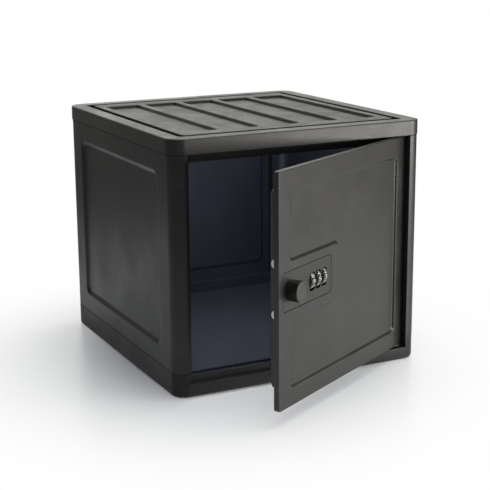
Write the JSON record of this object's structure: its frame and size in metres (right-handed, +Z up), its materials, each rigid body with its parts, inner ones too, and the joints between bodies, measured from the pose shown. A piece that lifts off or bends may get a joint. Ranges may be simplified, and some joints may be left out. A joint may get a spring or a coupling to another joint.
{
  "type": "medication lock box",
  "caption": "Moulded lock box with a ribbed top and a hinged front door that carries a combination lock, a turning knob and sliding bolts.",
  "frame": {"origin": "centre of the underside, in the plane of the surface that the box stands on", "axes": "+X to the right as the door is faced, +Y to the back, +Z up"},
  "size_m": [0.3, 0.4384, 0.274],
  "materials": {
    "shell_plastic": "fine satin, moulded",
    "inner_plastic": "satin",
    "mat_foam": "fine matt texture",
    "wheel_plastic": "satin, with white numerals",
    "nylon": "natural",
    "steel": "bright, turned",
    "spring_steel": "bright"
  },
  "bodies": {
    "casing": {"base_tray": "shell_plastic", "left_side_wall": "shell_plastic", "right_side_wall": "shell_plastic", "rear_wall": "shell_plastic", "top_cap": "shell_plastic", "top_panel": "shell_plastic", "floor_mat": "mat_foam", "strike_plate": "steel", "base_screw_1": "steel", "base_screw_2": "steel", "base_screw_3": "steel", "base_screw_4": "steel", "cap_screw_1": "steel", "cap_screw_2": "steel", "cap_screw_3": "steel", "cap_screw_4": "steel", "strike_screw_1": "steel", "strike_screw_2": "steel", "lower_hinge_pin": "steel", "upper_hinge_pin": "steel", "lower_hinge_washer": "nylon", "upper_hinge_washer": "nylon"},
    "door": {"door_outer_panel": "shell_plastic", "door_inner_cover": "inner_plastic", "lock_plate": "shell_plastic", "lock_case": "inner_plastic", "dial_spindle": "steel", "detent_spring": "spring_steel", "door_screw_1": "steel", "door_screw_2": "steel", "door_screw_3": "steel", "door_screw_4": "steel", "door_screw_5": "steel", "door_screw_6": "steel", "lock_screw_1": "steel", "lock_screw_2": "steel"},
    "knob": {"knob": "shell_plastic", "knob_shaft": "steel", "lock_pinion": "steel", "pinion_clip": "spring_steel"},
    "bolt_train": {"bolt_carriage": "steel", "upper_bolt": "steel", "lower_bolt": "steel", "upper_bolt_pin": "spring_steel", "lower_bolt_pin": "spring_steel"},
    "wheel_1": {"number_wheel_1": "wheel_plastic"},
    "wheel_2": {"number_wheel_2": "wheel_plastic"},
    "wheel_3": {"number_wheel_3": "wheel_plastic"}
  },
  "joints": [
    {"name": "door_hinge", "type": "hinge", "parent": "casing", "child": "door", "pos_m": [0.117, -0.1431, 0.14], "axis": [0, 0, 1], "range_deg": [-29.4, 70.6]},
    {"name": "knob_turn", "type": "hinge", "parent": "door", "child": "knob", "pos_m": [-0.07859, -0.25331, 0.1368], "axis": [0.4909, -0.8712, 0], "range_deg": [0, 180]},
    {"name": "bolt_slide", "type": "slide", "parent": "door", "child": "bolt_train", "axis": [-0.8712, -0.4909, 0], "range_m": [0, 0.0177]},
    {"name": "wheel_1_turn", "type": "hinge", "parent": "door", "child": "wheel_1", "pos_m": [-0.03166, -0.23352, 0.1368], "axis": [-0.8712, -0.4909, 0], "continuous": true},
    {"name": "wheel_2_turn", "type": "hinge", "parent": "door", "child": "wheel_2", "pos_m": [-0.03166, -0.23352, 0.1368], "axis": [-0.8712, -0.4909, 0], "continuous": true},
    {"name": "wheel_3_turn", "type": "hinge", "parent": "door", "child": "wheel_3", "pos_m": [-0.03166, -0.23352, 0.1368], "axis": [-0.8712, -0.4909, 0], "continuous": true}
  ],
  "couplings": [
    {"joint": "bolt_slide", "follows": "knob_turn", "m_per_rad": 0.0056}
  ]
}
